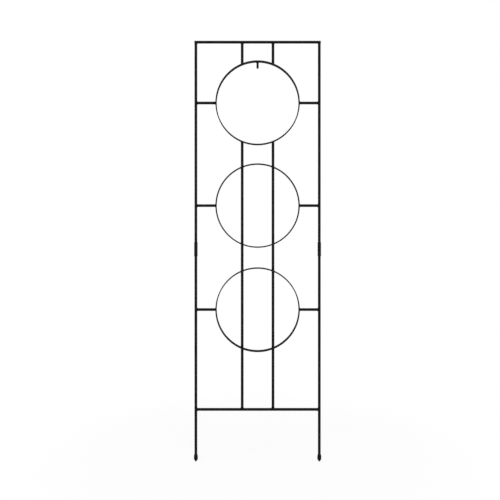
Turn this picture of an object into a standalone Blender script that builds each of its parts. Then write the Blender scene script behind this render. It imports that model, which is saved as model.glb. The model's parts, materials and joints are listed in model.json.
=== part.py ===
"""Circle trellis: a welded steel garden trellis of thin round tube with three rings of rolled flat strip.

Units are metres and +Z is up. The front faces -Y, and +X is to the right as the front is seen. The origin lies on
the soil line, midway between the two feet. The upper panel stands on the lower one, its two swaged sockets over the
lower rails, and lifts off along +Z.
"""

import math

import bmesh
import bpy
from mathutils import Matrix

# Round tube, the same for rails, bars and arms
TUBE_DIAMETER = 0.0100
TUBE_WALL = 0.0010

# Rings of flat strip rolled on edge, so that the strip's width runs front to back
RING_DIAMETER = 0.3048
STRIP_THICKNESS = 0.0040
STRIP_WIDTH = 0.0200
STRIP_EDGE_CHAMFER = 0.0005

# Widths: the arm between a rail and a ring, and the two inner bars from centre to centre
ARM_LENGTH = 0.0662
INNER_BAR_SPACING = 0.1116

# Heights, from the feet up: they add up to 1.524 overall
LEG_LENGTH = 0.1835
BASE_GAP = 0.2043
LOWER_RING_GAP = 0.0718
UPPER_RING_GAP = 0.0670
TOP_GAP = 0.0630
PLANTING_DEPTH = 0.1500

# Slip joint between the panels: a swaged socket on each upper rail, and a peg for each lower link bar
SOCKET_DEPTH = 0.0485
SOCKET_STOP_RISE = 0.0180
SOCKET_SHOULDER = 0.0040
SOCKET_MOUTH_LENGTH = 0.0060
SOCKET_MOUTH_FLARE = 0.0004
SLIP_CLEARANCE = 0.0002
PEG_LENGTH = 0.0140
PEG_CHAMFER = 0.0012

# Hook of round rod under the crown of the top ring
HOOK_ROD = 0.0080
HOOK_BEND_RADIUS = 0.0080
HOOK_SHANK = 0.0130
HOOK_TIP = 0.0060
HOOK_TIP_ROUNDING = 0.0012

# Foot: the tube is pressed flat over PRESS_LENGTH, stays flat for FLAT_LENGTH, and is sheared to a point
PRESS_LENGTH = 0.0120
FLAT_LENGTH = 0.0095
POINT_LENGTH = 0.0085
PINCHED_BORE = 0.0002
NOSE_RADIUS = 0.0025

# Gap left at each welded or seated face
WELD_GAP = 0.0003

# Facets
TUBE_SIDES = 20
RING_SIDES = 80
PRESS_STEPS = 8
BEND_STEPS = 10
NOSE_STEPS = 6
SHARP_ANGLE = math.radians(35)

# Powder coat: a satin black, a little glossier on the rolled strip
COAT_COLOUR = (0.006, 0.006, 0.0065, 1.0)
COAT_METALLIC = 0.0
TUBE_ROUGHNESS = 0.42
STRIP_ROUGHNESS = 0.38
ROD_ROUGHNESS = 0.45

# Sizes that follow from the ones above
tube_radius = TUBE_DIAMETER / 2
bore_radius = tube_radius - TUBE_WALL
ring_radius = RING_DIAMETER / 2
ring_inner_radius = ring_radius - STRIP_THICKNESS
rail_x = ring_radius + ARM_LENGTH + tube_radius
bar_x = INNER_BAR_SPACING / 2
overall_width = 2 * (rail_x + tube_radius)

tip_z = -PLANTING_DEPTH
bottom_bar_z = tip_z + LEG_LENGTH + tube_radius
bottom_ring_z = bottom_bar_z + tube_radius + BASE_GAP + ring_radius
middle_ring_z = bottom_ring_z + RING_DIAMETER + LOWER_RING_GAP
top_ring_z = middle_ring_z + RING_DIAMETER + UPPER_RING_GAP
top_bar_z = top_ring_z + ring_radius + TOP_GAP + tube_radius

# The upper rails stop on the lower rails here, a little above the lowest point of the middle ring
stop_z = middle_ring_z - ring_radius + SOCKET_STOP_RISE
mouth_z = stop_z - SOCKET_DEPTH
socket_radius = tube_radius + SLIP_CLEARANCE

pressed_thickness = 2 * TUBE_WALL + PINCHED_BORE
pressed_half_width = (tube_radius - pressed_thickness / 2) * math.pi / 2 + pressed_thickness / 2

SIDES = {"left": -1, "right": 1}
STAND_ALONG_Y = (math.pi / 2, 0, 0)
LIE_ALONG_X = (0, math.pi / 2, 0)

# Roughness by the last word of a piece's name; all the others are tube
ROUGHNESS = {"ring": STRIP_ROUGHNESS, "hook": ROD_ROUGHNESS, "peg": ROD_ROUGHNESS}


def new_collection(name):
    collection = bpy.data.collections.new(name)
    bpy.context.scene.collection.children.link(collection)
    return collection


def powder_coat(name, roughness):
    """Satin black powder coat on steel."""
    material = bpy.data.materials.new(name + "_coat")
    material.use_nodes = True
    shader = material.node_tree.nodes["Principled BSDF"]
    shader.inputs["Base Color"].default_value = COAT_COLOUR
    shader.inputs["Roughness"].default_value = roughness
    shader.inputs["Metallic"].default_value = COAT_METALLIC
    return material


def new_object(name, mesh, collection, location=(0, 0, 0), rotation=(0, 0, 0)):
    piece = bpy.data.objects.new(name, mesh)
    piece.location = location
    piece.rotation_euler = rotation
    collection.objects.link(piece)
    return piece


def turned(name, profile, collection, closed, sides=TUBE_SIDES, **place):
    """A profile of (radius, height) points turned about the local Z axis.

    The points run down the outer side. A closed profile goes back up the bore, an open one starts and ends on the axis.
    """
    points = [(radius, 0, height) for radius, height in profile]
    edges = [(i, i + 1) for i in range(len(points) - 1)]
    if closed:
        edges.append((len(points) - 1, 0))
    mesh = bpy.data.meshes.new(name)
    mesh.from_pydata(points, edges, [])
    piece = new_object(name, mesh, collection, **place)
    screw = piece.modifiers.new("turn", "SCREW")
    screw.steps = sides
    screw.render_steps = sides
    screw.use_merge_vertices = True
    screw.merge_threshold = 0.00001
    return piece


def rod(name, radius, length, collection, **place):
    """A solid round bar, from its middle out along local Z."""
    half = length / 2
    profile = [(0, half), (radius, half), (radius, -half), (0, -half)]
    return turned(name, profile, collection, closed=False, **place)


def tube(name, length, collection, **place):
    """A round tube with open ends, from its middle out along local Z."""
    half = length / 2
    profile = [(tube_radius, half), (tube_radius, -half), (bore_radius, -half), (bore_radius, half)]
    return turned(name, profile, collection, closed=True, **place)


def shape_with(piece, cutter, operation="DIFFERENCE"):
    boolean = piece.modifiers.new(cutter.name, "BOOLEAN")
    boolean.object = cutter
    boolean.operation = operation
    boolean.solver = "EXACT"


def mesh_of_curve(curve, collection):
    """The curve as a closed mesh object in the same place, its caps welded on; the curve goes."""
    bpy.context.view_layer.update()
    graph = bpy.context.evaluated_depsgraph_get()
    mesh = bpy.data.meshes.new_from_object(curve.evaluated_get(graph))
    shell = bmesh.new()
    shell.from_mesh(mesh)
    bmesh.ops.remove_doubles(shell, verts=shell.verts, dist=0.00001)
    bmesh.ops.recalc_face_normals(shell, faces=shell.faces)
    shell.to_mesh(mesh)
    shell.free()
    name = curve.name
    place = curve.matrix_world.copy()
    bpy.data.objects.remove(curve)
    solid = new_object(name, mesh, collection)
    solid.matrix_world = place
    return solid


def poly_curve(name, points, collection, dimensions, cyclic):
    """A curve object of one POLY spline; a point is (x, y, z, radius)."""
    data = bpy.data.curves.new(name, "CURVE")
    data.dimensions = dimensions
    spline = data.splines.new("POLY")
    spline.points.add(len(points) - 1)
    for spline_point, (x, y, z, radius) in zip(spline.points, points):
        spline_point.co = (x, y, z, 1)
        spline_point.radius = radius
    spline.use_cyclic_u = cyclic
    return new_object(name, data, collection)


def ring_disc(name, radius, z, collection):
    """A solid disc about a ring's axis, with the ring's facets, that cuts the ends of what meets the ring."""
    depth = STRIP_WIDTH + 4 * tube_radius
    return rod(name, radius, depth, collection, sides=RING_SIDES, location=(0, 0, z), rotation=STAND_ALONG_Y)


def make_cutters(collection):
    """What the coped tube ends are cut to: the neighbours' outsides, one weld gap larger."""
    coped_radius = tube_radius + WELD_GAP
    rail_length = 2 * (top_bar_z - tip_z)
    cutters = {
        "top_bar": rod(
            "top_bar_cutter", coped_radius, 2 * overall_width, collection,
            location=(0, 0, top_bar_z), rotation=LIE_ALONG_X,
        ),
        "bottom_bar": rod(
            "bottom_bar_cutter", coped_radius, 2 * overall_width, collection,
            location=(0, 0, bottom_bar_z), rotation=LIE_ALONG_X,
        ),
    }
    for side, sign in SIDES.items():
        cutters[side] = rod(side + "_rail_cutter", coped_radius, rail_length, collection, location=(sign * rail_x, 0, 0))
    for ring, z in (("top", top_ring_z), ("middle", middle_ring_z), ("bottom", bottom_ring_z)):
        cutters[ring] = ring_disc(ring + "_ring_cutter", ring_radius + WELD_GAP, z, collection)
        cutters[ring + "_inside"] = ring_disc(ring + "_inside_cutter", ring_inner_radius - WELD_GAP, z, collection)
    cutters["point"] = make_point_cutter(collection)
    return cutters


def make_point_cutter(collection):
    """The shears' block: what is left between its two slanted sides and above its round nose is the foot's point.

    It is drawn about the tip, x across and y up. Each slanted side is tangent to the nose, and passes through the
    corner where the pressed tube has its full width.
    """
    block = 2 * TUBE_DIAMETER
    corner_x = pressed_half_width
    to_corner = math.hypot(corner_x, POINT_LENGTH - NOSE_RADIUS)
    tangent = math.atan2(POINT_LENGTH - NOSE_RADIUS, corner_x) - math.acos(NOSE_RADIUS / to_corner)
    nose_x = NOSE_RADIUS * math.cos(tangent)
    nose_y = NOSE_RADIUS + NOSE_RADIUS * math.sin(tangent)
    top = POINT_LENGTH + FLAT_LENGTH
    top_x = nose_x + (corner_x - nose_x) * (top - nose_y) / (POINT_LENGTH - nose_y)

    outline = [(-block, top), (-block, -block), (block, -block), (block, top), (top_x, top)]
    for step in range(NOSE_STEPS + 1):
        turn = tangent - (math.pi + 2 * tangent) * step / NOSE_STEPS
        outline.append((NOSE_RADIUS * math.cos(turn), NOSE_RADIUS + NOSE_RADIUS * math.sin(turn)))
    outline.append((-top_x, top))

    points = [(x, y, 0, 1) for x, y in outline]
    curve = poly_curve("point_cutter", points, collection, "2D", cyclic=True)
    curve.data.fill_mode = "BOTH"
    curve.data.extrude = TUBE_DIAMETER
    curve.rotation_euler = STAND_ALONG_Y
    curve.location = (0, 0, tip_z)
    return mesh_of_curve(curve, collection)


def make_ring(name, z, collection):
    """Strip rolled on edge: a chamfered strip section turned about the ring's axis."""
    half = STRIP_WIDTH / 2
    chamfer = STRIP_EDGE_CHAMFER
    profile = [
        (ring_radius - chamfer, half),
        (ring_radius, half - chamfer),
        (ring_radius, chamfer - half),
        (ring_radius - chamfer, -half),
        (ring_inner_radius + chamfer, -half),
        (ring_inner_radius, chamfer - half),
        (ring_inner_radius, half - chamfer),
        (ring_inner_radius + chamfer, half),
    ]
    return turned(
        name, profile, collection, closed=True, sides=RING_SIDES, location=(0, 0, z), rotation=STAND_ALONG_Y
    )


def make_arm(name, side, ring, z, cutters, collection):
    """The short tube between a rail and a ring, coped at both ends."""
    reach = tube_radius + ARM_LENGTH + STRIP_THICKNESS + tube_radius
    middle = SIDES[side] * (rail_x - reach / 2)
    arm = tube(name, reach, collection, location=(middle, 0, z), rotation=LIE_ALONG_X)
    shape_with(arm, cutters[side])
    shape_with(arm, cutters[ring])
    return arm


def make_bar(name, side, low, high, cutters, collection):
    """An upright inner bar whose two ends, at the heights low and high, are coped by the given cutters."""
    bar = tube(name, high - low, collection, location=(SIDES[side] * bar_x, 0, (low + high) / 2))
    for cutter in cutters:
        shape_with(bar, cutter)
    return bar


def make_ring_bar(name, side, ring_z, inside, collection):
    """An upright bar across the inside of a ring, both ends coped to the strip."""
    bar = tube(name, 2 * ring_radius, collection, location=(SIDES[side] * bar_x, 0, ring_z))
    shape_with(bar, inside, "INTERSECT")
    return bar


def make_top_bar(collection):
    return tube("top_bar", overall_width, collection, location=(0, 0, top_bar_z), rotation=LIE_ALONG_X)


def make_bottom_bar(cutters, collection):
    """The cross tube above the soil, coped between the two rails."""
    bar = tube("bottom_bar", 2 * rail_x, collection, location=(0, 0, bottom_bar_z), rotation=LIE_ALONG_X)
    for side in SIDES:
        shape_with(bar, cutters[side])
    return bar


def make_upper_rail(side, cutters, collection):
    """A rail whose lower end is swaged out into a socket, with a shoulder and a slightly flared mouth."""
    shoulder_z = stop_z + SOCKET_SHOULDER
    lead_in_z = mouth_z + SOCKET_MOUTH_LENGTH
    bore = [
        (socket_radius + SOCKET_MOUTH_FLARE, mouth_z),
        (socket_radius, lead_in_z),
        (socket_radius, stop_z),
        (bore_radius, shoulder_z),
        (bore_radius, top_bar_z),
    ]
    outside = [(radius + TUBE_WALL, z) for radius, z in reversed(bore)]
    rail = turned(
        f"upper_{side}_rail", outside + bore, collection, closed=True, location=(SIDES[side] * rail_x, 0, 0)
    )
    shape_with(rail, cutters["top_bar"])
    return rail


def pressed_outline(radius, thickness):
    """The outline of a round tube pressed to a thickness: two flats joined by two half-round edges.

    The steel doesn't stretch, so the way round stays the same, and so does each point's place along it.
    """
    edge_radius = thickness / 2
    half_flat = (radius - edge_radius) * math.pi / 2
    outline = []
    for step in range(TUBE_SIDES):
        turn = 2 * math.pi * step / TUBE_SIDES
        along = radius * abs(math.asin(math.sin(turn)))
        bend = min(along / edge_radius, math.pi / 2)
        x = half_flat + edge_radius * math.cos(bend) - max(along - edge_radius * math.pi / 2, 0)
        y = edge_radius * math.sin(bend)
        outline.append((math.copysign(x, math.cos(turn)), math.copysign(y, math.sin(turn))))
    return outline


def lofted(name, sections, collection, **place):
    """A closed solid through sections of (height, outline), all with the same number of points."""
    shell = bmesh.new()
    loops = [[shell.verts.new((x, y, z)) for x, y in outline] for z, outline in sections]
    for loop, following in zip(loops, loops[1:]):
        for i in range(len(loop)):
            shell.faces.new((loop[i - 1], loop[i], following[i], following[i - 1]))
    shell.faces.new(loops[0])
    shell.faces.new(loops[-1])
    bmesh.ops.recalc_face_normals(shell, faces=shell.faces)
    mesh = bpy.data.meshes.new(name)
    shell.to_mesh(mesh)
    shell.free()
    return new_object(name, mesh, collection, **place)


def make_lower_rail(side, cutters, collection):
    """A rail with a plain top end; its lower end is pressed flat, which pinches the bore shut, and sheared to a point."""
    top = stop_z - WELD_GAP
    blank_end = tip_z - NOSE_RADIUS
    flat_top = tip_z + POINT_LENGTH + FLAT_LENGTH

    bore = [(top, 0.0)]
    for step in range(PRESS_STEPS + 1):
        part = step / PRESS_STEPS
        pressed = part * part * (3 - 2 * part)
        bore.append((flat_top + PRESS_LENGTH * (1 - part), pressed))

    def section(z, pressed, wall):
        round_thickness = 2 * (tube_radius - TUBE_WALL)
        thickness = round_thickness + (PINCHED_BORE - round_thickness) * pressed
        return z, pressed_outline(tube_radius - TUBE_WALL + wall, thickness + 2 * wall)

    inside = [section(z, pressed, 0.0) for z, pressed in reversed(bore)]
    outside = [section(z, pressed, TUBE_WALL) for z, pressed in bore]
    outside.append(section(blank_end, 1.0, TUBE_WALL))
    location = (SIDES[side] * rail_x, 0, 0)
    rail = lofted(f"lower_{side}_rail", inside + outside, collection, location=location)

    shears = new_object(side + "_point_cutter", cutters["point"].data, cutters["point"].users_collection[0])
    shears.matrix_world = Matrix.Translation(location) @ cutters["point"].matrix_world
    shape_with(rail, shears)
    return rail


def make_peg(side, cutters, collection):
    """The peg under the middle ring that enters the open end of the lower link bar, with a chamfered end."""
    radius = bore_radius - SLIP_CLEARANCE
    strip_z = middle_ring_z - math.sqrt(ring_radius**2 - bar_x**2)
    low = strip_z - PEG_LENGTH
    high = strip_z + tube_radius
    profile = [(0, high), (radius, high), (radius, low + PEG_CHAMFER), (radius - PEG_CHAMFER, low), (0, low)]
    peg = turned(
        f"{side}_locating_peg", profile, collection, closed=False, location=(SIDES[side] * bar_x, 0, 0)
    )
    shape_with(peg, cutters["middle"])
    return peg


def make_hook(cutters, collection):
    """A J-hook of round rod: the shank's back is flush with the strip's rear edge, and the tip turns up in front."""
    strip_z = top_ring_z + ring_inner_radius
    shank_y = STRIP_WIDTH / 2 - HOOK_ROD / 2
    bend_y = shank_y - HOOK_BEND_RADIUS
    bend_z = strip_z - HOOK_SHANK
    tip_y = bend_y - HOOK_BEND_RADIUS
    rounding = HOOK_TIP_ROUNDING

    points = [(0, shank_y, strip_z + STRIP_THICKNESS, 1)]
    for step in range(BEND_STEPS + 1):
        turn = -math.pi * step / BEND_STEPS
        y = bend_y + HOOK_BEND_RADIUS * math.cos(turn)
        z = bend_z + HOOK_BEND_RADIUS * math.sin(turn)
        points.append((0, y, z, 1))
    points.append((0, tip_y, bend_z + HOOK_TIP - rounding, 1))
    points.append((0, tip_y, bend_z + HOOK_TIP, 1 - rounding / (HOOK_ROD / 2)))

    curve = poly_curve("hanging_hook", points, collection, "3D", cyclic=False)
    curve.data.bevel_depth = HOOK_ROD / 2
    curve.data.bevel_resolution = 4
    curve.data.use_fill_caps = True
    hook = mesh_of_curve(curve, collection)
    shape_with(hook, cutters["top_inside"], "INTERSECT")
    return hook


def make_upper_panel(cutters, collection):
    """The top bar, both upper rails, the top and middle rings and what joins them."""
    pieces = [
        make_top_bar(collection),
        make_ring("top_ring", top_ring_z, collection),
        make_ring("middle_ring", middle_ring_z, collection),
        make_hook(cutters, collection),
    ]
    for side in SIDES:
        top_ends = [cutters["top_bar"], cutters["top"]]
        link_ends = [cutters["top"], cutters["middle"]]
        pieces += [
            make_upper_rail(side, cutters, collection),
            make_bar(f"top_{side}_bar", side, top_ring_z, top_bar_z, top_ends, collection),
            make_arm(f"top_ring_{side}_arm", side, "top", top_ring_z, cutters, collection),
            make_bar(f"upper_{side}_link", side, middle_ring_z, top_ring_z, link_ends, collection),
            make_arm(f"middle_ring_{side}_arm", side, "middle", middle_ring_z, cutters, collection),
            make_ring_bar(f"middle_ring_{side}_bar", side, middle_ring_z, cutters["middle_inside"], collection),
            make_peg(side, cutters, collection),
        ]
    return pieces


def make_lower_panel(cutters, collection):
    """The two rails with their feet, the bottom ring, the bottom bar and what joins them."""
    pieces = [
        make_ring("bottom_ring", bottom_ring_z, collection),
        make_bottom_bar(cutters, collection),
    ]
    for side in SIDES:
        link_ends = [cutters["middle"], cutters["bottom"]]
        base_ends = [cutters["bottom"], cutters["bottom_bar"]]
        pieces += [
            make_lower_rail(side, cutters, collection),
            make_bar(f"lower_{side}_link", side, bottom_ring_z, middle_ring_z, link_ends, collection),
            make_arm(f"bottom_ring_{side}_arm", side, "bottom", bottom_ring_z, cutters, collection),
            make_ring_bar(f"bottom_ring_{side}_bar", side, bottom_ring_z, cutters["bottom_inside"], collection),
            make_bar(f"base_{side}_bar", side, bottom_bar_z, bottom_ring_z, base_ends, collection),
        ]
    return pieces


def finish(piece):
    """Applies the piece's modifiers, shades its round faces smooth and gives it its own coat."""
    graph = bpy.context.evaluated_depsgraph_get()
    mesh = bpy.data.meshes.new_from_object(piece.evaluated_get(graph))
    mesh.name = piece.name
    piece.modifiers.clear()
    piece.data = mesh
    mesh.shade_smooth()
    mesh.set_sharp_from_angle(angle=SHARP_ANGLE)
    roughness = ROUGHNESS.get(piece.name.split("_")[-1], TUBE_ROUGHNESS)
    mesh.materials.clear()
    mesh.materials.append(powder_coat(piece.name, roughness))


def hold_by_empty(name, height, pieces, collection):
    """Parents a panel's pieces to an empty on the line that the panel lifts along, and leaves them where they are."""
    panel = bpy.data.objects.new(name, None)
    panel.location = (0, 0, height)
    collection.objects.link(panel)
    for piece in pieces:
        piece.parent = panel
        piece.matrix_parent_inverse = Matrix.Translation((0, 0, -height))


def main():
    for leftover in list(bpy.data.objects):
        bpy.data.objects.remove(leftover)
    trellis = new_collection("circle_trellis")
    cutter_collection = new_collection("cutters")
    cutters = make_cutters(cutter_collection)
    upper_pieces = make_upper_panel(cutters, trellis)
    lower_pieces = make_lower_panel(cutters, trellis)
    bpy.context.view_layer.update()
    for piece in upper_pieces + lower_pieces:
        finish(piece)
    hold_by_empty("upper_panel", stop_z, upper_pieces, trellis)
    hold_by_empty("lower_panel", 0, lower_pieces, trellis)
    for cutter in cutter_collection.objects:
        cutter.hide_render = True
        cutter.display_type = "WIRE"


main()
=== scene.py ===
"""Looks of the circle trellis: black powder-coated tube, three rings of rolled strip, and their weld beads.

Run as a script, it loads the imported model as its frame, lays smooth coated surfaces and weld beads over it,
and sets up a plain studio. Lengths are metres, +Z is up, the front faces -Y, and +X is to the right as the
front is seen.
"""

import json
import math

import bpy
import numpy as np
from bpy.props import FloatProperty, FloatVectorProperty, IntProperty, PointerProperty
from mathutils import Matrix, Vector


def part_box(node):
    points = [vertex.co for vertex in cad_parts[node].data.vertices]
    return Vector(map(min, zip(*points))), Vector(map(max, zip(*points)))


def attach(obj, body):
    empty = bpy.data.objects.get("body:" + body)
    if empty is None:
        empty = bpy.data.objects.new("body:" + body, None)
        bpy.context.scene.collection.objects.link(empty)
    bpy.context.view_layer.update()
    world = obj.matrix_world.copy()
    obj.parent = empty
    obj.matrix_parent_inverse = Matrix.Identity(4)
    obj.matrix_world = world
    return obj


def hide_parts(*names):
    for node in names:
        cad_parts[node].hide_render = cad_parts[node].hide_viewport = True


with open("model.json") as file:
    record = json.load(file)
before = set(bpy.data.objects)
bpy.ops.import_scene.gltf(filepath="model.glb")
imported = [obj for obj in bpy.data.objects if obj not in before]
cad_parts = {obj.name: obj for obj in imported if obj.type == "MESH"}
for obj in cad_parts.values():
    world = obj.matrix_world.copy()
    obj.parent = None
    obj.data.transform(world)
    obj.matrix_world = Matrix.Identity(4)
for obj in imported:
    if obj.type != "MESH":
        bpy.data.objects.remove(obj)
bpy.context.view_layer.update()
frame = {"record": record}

bl_info = {
    "name": "Circle Trellis",
    "version": (1, 0, 0),
    "blender": (4, 5, 0),
    "location": "3D View > Sidebar > Trellis",
    "description": "Coated surfaces and weld beads of a welded circle trellis, and a plain studio for it",
    "category": "Add Mesh",
}

X, Y, Z = 0, 1, 2
AXES = np.eye(3)
SIDES = {"left": -1, "right": 1}
RINGS = ("top", "middle", "bottom")
BODIES = {node: body for body, nodes in frame["record"]["behaviour"]["bodies"].items() for node in nodes}
# The nodes whose beads are one piece each
WELD_GROUPS = ("top_bar", "top_ring", "middle_ring", "bottom_ring", "bottom_bar")
# A rod's end reaches into the strip, and a lower link's end stays clear of it
ROD_INTO_STRIP = 0.0005
LINK_GAP = 0.0003
# Faces that meet at a greater angle meet in an edge
SHARP_EDGE = math.radians(50)
# Stands in for no length, where a row of points or a divisor can't be nothing
NEARLY_NOTHING = 0.0002
# The angle by which a rod's rounded end stops short of its flat
SHORT_OF_FLAT = 0.02

# Numbers of the inputs and outputs that are used below, in their nodes' own lists
MIX_FACTOR, MIX_FIRST, MIX_SECOND, MIX_RESULT = 0, 6, 7, 2
OBJECT_PLACE = 3
ATTRIBUTE_VALUE = 2
SLANT = 1
VECTOR_LENGTH = 1
CAMERA_RAY, GLOSSY_RAY, TRANSMISSION_RAY = 0, 3, 6

# The most that marks add to the coat's colour, as shares of dust and of rubbed steel
MOST_DUST = {"cloud": 0.04, "grain": 0.02, "speck": 0.10, "thin": 0.35}
MOST_STEEL = 0.5
# The most that they change its roughness, which starts a little lower to make up for them
ROUGHER = {"cloud": 0.10, "grain": 0.06, "thin": 0.05}
RUBBED_SMOOTHER = 0.12
STARTS_SMOOTHER = 0.05
# The level of noise at which a mark begins, and the one at which it is full
CLOUDS = (0.3, 0.7)
SPECKS = (0.70, 0.78)
STREAKS = (0.5, 0.72)
THIN_SPOTS = (0.30, 0.75)
# How much the place along Z counts for streaks, next to the place across
STREAK_SHRINK = 0.03

# Softboxes: name, place, width and height, and the setting that holds the power
SOFTBOXES = [
    ("left", (-2.4, -1.2, 0.9), (0.20, 2.0), "key_power"),
    ("right", (2.4, -1.2, 0.9), (0.20, 2.0), "key_power"),
    ("top", (0, -0.6, 3.2), (2.0, 0.3), "top_power"),
    ("front", (0, -3.2, 1.6), (0.3, 1.6), "front_power"),
]


def low(node):
    """The lowest corner of a CAD node's box."""
    return np.array(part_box(node)[0])


def high(node):
    """The highest corner of a CAD node's box."""
    return np.array(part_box(node)[1])


def middle(node):
    return (low(node) + high(node)) / 2


def extent(node):
    return high(node) - low(node)


# Places and sizes that the frame gives
TUBE_RADIUS = extent("top_left_bar")[X] / 2
RAIL_X = middle("upper_right_rail")[X]
BAR_X = middle("top_right_bar")[X]
RING_RADIUS = extent("top_ring")[Z] / 2
STRIP_HALF_WIDTH = extent("top_ring")[Y] / 2
RING_Z = {ring: middle(ring + "_ring")[Z] for ring in RINGS}
TOP_BAR_Z = middle("top_bar")[Z]
BOTTOM_BAR_Z = middle("bottom_bar")[Z]
BAR_END_X = high("top_bar")[X]
TIP_Z = low("lower_left_rail")[Z]
LOWER_RAIL_TOP_Z = high("lower_left_rail")[Z]
MOUTH_Z = low("upper_left_rail")[Z]
MOUTH_RADIUS = extent("upper_left_rail")[X] / 2
PEG_RADIUS = extent("left_locating_peg")[X] / 2
PEG_END_Z = low("left_locating_peg")[Z]
HOOK_ROD_RADIUS = extent("hanging_hook")[X] / 2
HOOK_BACK_Y = high("hanging_hook")[Y]
HOOK_FRONT_Y = low("hanging_hook")[Y]
HOOK_BOTTOM_Z = low("hanging_hook")[Z]
# Weld beads stand hardly proud of the top bar's ends, and stop short of the strip's edges
WELD_REACH = np.array([BAR_END_X + 0.0003, STRIP_HALF_WIDTH - 0.00005, math.inf])


def property_kind(maker, **limits):
    """A function that makes one kind of property, from its name, description and default."""

    def make(name, description, default):
        return maker(name=name, description=description, default=default, **limits)

    return make


length = property_kind(FloatProperty, min=0, unit="LENGTH", subtype="DISTANCE")
coordinate = property_kind(FloatProperty, unit="LENGTH", subtype="DISTANCE")
factor = property_kind(FloatProperty, min=0, max=1, subtype="FACTOR")
level = property_kind(FloatProperty, min=0)
power = property_kind(FloatProperty, min=0, unit="POWER")
count = property_kind(IntProperty, min=3)
colour = property_kind(FloatVectorProperty, min=0, max=1, subtype="COLOR")


class TrellisTubeSettings(bpy.types.PropertyGroup):
    wall: length("Wall", "Wall of the round tube", 0.0010)
    lip: length("Lip", "Rounding that the coat gives a cut end", 0.00025)
    spacing: length("Spacing", "Distance between cross sections along a tube", 0.008)
    sides: count("Sides", "Points round a tube", 64)


class TrellisStripSettings(bpy.types.PropertyGroup):
    thickness: length("Thickness", "Thickness of the rolled strip", 0.0040)
    edge: length("Edge", "Rounding of the strip's rolled edges", 0.0006)
    seam_width: length("Seam width", "Half width of the ground weld that closes a ring", 0.0022)
    seam_height: length("Seam height", "How far the ground weld stands proud", 0.00022)
    steps: count("Steps", "Points round a ring", 480)


class TrellisSocketSettings(bpy.types.PropertyGroup):
    clearance: length("Clearance", "Radial clearance of a rail in its socket", 0.0002)
    shoulder: length("Shoulder", "Height over which the tube widens into the socket", 0.0040)
    mouth: length("Mouth", "Height over which the socket's mouth flares", 0.0060)
    seat: length("Seat", "Play between a rail's end and the shoulder that it stands on", 0.0003)


class TrellisFootSettings(bpy.types.PropertyGroup):
    press: length("Press", "Height over which the round tube is pressed flat", 0.0120)
    flat: length("Flat", "Height of the full-width flat above the point", 0.0095)
    point: length("Point", "Height of the sheared point", 0.0085)
    nose: length("Nose", "Radius of the point's nose", 0.0025)
    pinched_bore: length("Pinched bore", "What stays open between the pressed walls", 0.0002)
    sheared_edge: length("Sheared edge", "Rounding that the coat gives the sheared edges", 0.00035)
    hollow: length("Hollow", "How far the middle of the flat sinks below its rolled edges", 0.0001)


class TrellisHookSettings(bpy.types.PropertyGroup):
    tip: length("Tip", "Height of the tip above the middle of the bend", 0.0060)
    rounding: length("Rounding", "Rounding of the tip's end", 0.0012)


class TrellisWeldSettings(bpy.types.PropertyGroup):
    leg: length("Leg", "How far a bead reaches along each of the two pieces", 0.0019)
    crown: length("Crown", "Height of the bead's control point above the seam", 0.0018)
    root: length("Root", "How deep a bead's toes and root sit in the steel", 0.00025)
    ripple: length("Ripple", "Height of the ripples along a bead", 0.00012)
    pitch: length("Pitch", "Distance between ripples", 0.0013)
    sides: count("Sides", "Points along a bead", 160)


class TrellisCoatSettings(bpy.types.PropertyGroup):
    colour: colour("Colour", "Colour of the powder coat", (0.0028, 0.0028, 0.0030))
    dust: colour("Dust", "Colour of the thin coat on edges and of fine dust", (0.035, 0.0345, 0.034))
    steel: colour("Steel", "Colour of the coat where the slip joint has rubbed it", (0.10, 0.10, 0.105))
    tube_roughness: factor("Tube roughness", "Roughness of the coat on tube", 0.22)
    strip_roughness: factor("Strip roughness", "Roughness of the coat on strip", 0.22)
    rod_roughness: factor("Rod roughness", "Roughness of the coat on rod", 0.24)
    specular: factor("Specular", "Strength of the coat's shine", 0.085)
    slanted: factor("Slanted", "How much rougher the coat looks at a slant", 1.0)
    peel: length("Peel", "Size of the coat's orange peel", 0.0016)
    grain: length("Grain", "Size of the coat's fine grain", 0.00035)
    cloud: length("Cloud", "Size of the slow changes in gloss", 0.060)
    speck: length("Speck", "Size of the specks of fine dust", 0.00112)
    streak: length("Streak", "Width of the rubbed streaks", 0.0009)
    thin_spot: length("Thin spot", "Size of the thin spots on edges", 0.0021)
    lump: length("Lump", "Size of the lumps on a weld", 0.0009)
    peel_depth: length("Peel depth", "Depth of the orange peel", 0.000022)
    grain_depth: length("Grain depth", "Depth of the fine grain", 0.000003)
    lump_depth: length("Lump depth", "Depth of the lumps on a weld", 0.00006)


class TrellisStageSettings(bpy.types.PropertyGroup):
    floor: colour("Floor", "Colour of the floor", (0.90, 0.90, 0.90))
    floor_radius: length("Floor radius", "Radius of the floor", 9.0)
    clear_radius: length("Clear radius", "Radius within which the floor shows its shading", 0.5)
    floor_glow: factor("Floor glow", "Share of plain white in the floor's look near the trellis", 0.85)
    camera_x: coordinate("Camera X", "Camera's place across", -0.011)
    camera_z: length("Camera Z", "Camera's height", 0.732)
    camera_distance: length("Camera distance", "Distance from the camera to the trellis", 2.20)
    view_width: length("View width", "Width of the view at the trellis", 1.8117)
    view_x: coordinate("View X", "Middle of the view across", -0.0275)
    view_z: length("View Z", "Height of the middle of the view", 0.616)
    ambient: level("Ambient", "Level of the soft light from all round", 0.70)
    key_power: power("Key", "Power of each side softbox", 14)
    top_power: power("Top", "Power of the overhead softbox", 22)
    front_power: power("Front", "Power of the front softbox", 4)


def settings(part):
    """The settings of one part of the work, as the sidebar holds them."""
    return getattr(bpy.context.scene, "trellis_" + part)


def smooth(share):
    """0 below 0, 1 above 1, and the cubic 3s^2 - 2s^3 between them."""
    share = np.clip(share, 0, 1)
    return share * share * (3 - 2 * share)


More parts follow.
